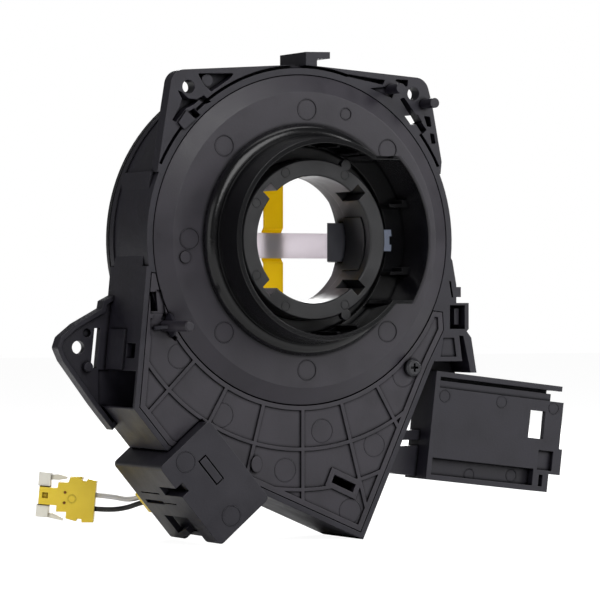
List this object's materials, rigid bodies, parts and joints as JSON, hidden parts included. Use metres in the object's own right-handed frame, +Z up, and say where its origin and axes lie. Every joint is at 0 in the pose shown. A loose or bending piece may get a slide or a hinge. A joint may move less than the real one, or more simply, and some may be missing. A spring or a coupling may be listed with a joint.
{
  "type": "steering clock spring",
  "caption": "Steering clock spring: ribbed black housing with a collared rear cover, ears, switch tray, a turning sleeve with transport lock, and an airbag lead with a yellow plug.",
  "frame": {"origin": "on the turning axis of the rotor, in the rear face of the housing, at the middle part of the sleeve's bore", "axes": "the turning axis is Y, with the steering column side at -Y and the wheel side at +Y; +Z is up as it sits on the column, and +X is to the right seen from the column side"},
  "size_m": [0.1627, 0.0758, 0.1472],
  "materials": {
    "case_plastic": "satin",
    "rotor_plastic": "satin",
    "socket_plastic": "satin",
    "lock_plastic": "satin",
    "strap_plastic": "satin",
    "yellow_tape": "gloss",
    "yellow_plastic": "satin",
    "pale_plastic": "satin",
    "grey_plastic": "satin",
    "ribbon_film": "satin",
    "slide_film": "satin",
    "screw_steel": "plain",
    "terminal_brass": "plain",
    "white_insulation": "satin",
    "black_insulation": "satin"
  },
  "bodies": {
    "stator": {"stator_case": "case_plastic", "rear_cover": "case_plastic", "cover_screw": "screw_steel", "harness_socket": "socket_plastic", "harness_terminals": "terminal_brass", "lead_insert": "yellow_plastic", "outer_terminal_block": "pale_plastic", "ribbon_cable": "ribbon_film", "white_lead": "white_insulation", "black_lead": "black_insulation", "airbag_plug": "yellow_plastic", "plug_terminals": "terminal_brass"},
    "plug_lock": {"plug_lock": "grey_plastic"},
    "rotor": {"rotor_hub": "rotor_plastic", "rotor_sleeve": "rotor_plastic", "inner_terminal_block": "pale_plastic", "slider_ring": "slide_film", "wheel_socket": "socket_plastic", "wheel_socket_pins": "terminal_brass"},
    "transport_lock": {"lock_block": "lock_plastic", "lock_strap": "strap_plastic", "lock_tape": "yellow_tape"}
  },
  "joints": [
    {"name": "rotor_turn", "type": "hinge", "parent": "stator", "child": "rotor", "pos_m": [0, 0, 0], "axis": [0, 1, 0], "range_deg": [-900, 900]},
    {"name": "transport_lock_pull", "type": "slide", "parent": "rotor", "child": "transport_lock", "axis": [0, 1, 0], "range_m": [0, 0.026]},
    {"name": "plug_lock_slide", "type": "slide", "parent": "stator", "child": "plug_lock", "axis": [-0.8836, 0.46, 0.0872], "range_m": [0, 0.0025]}
  ]
}
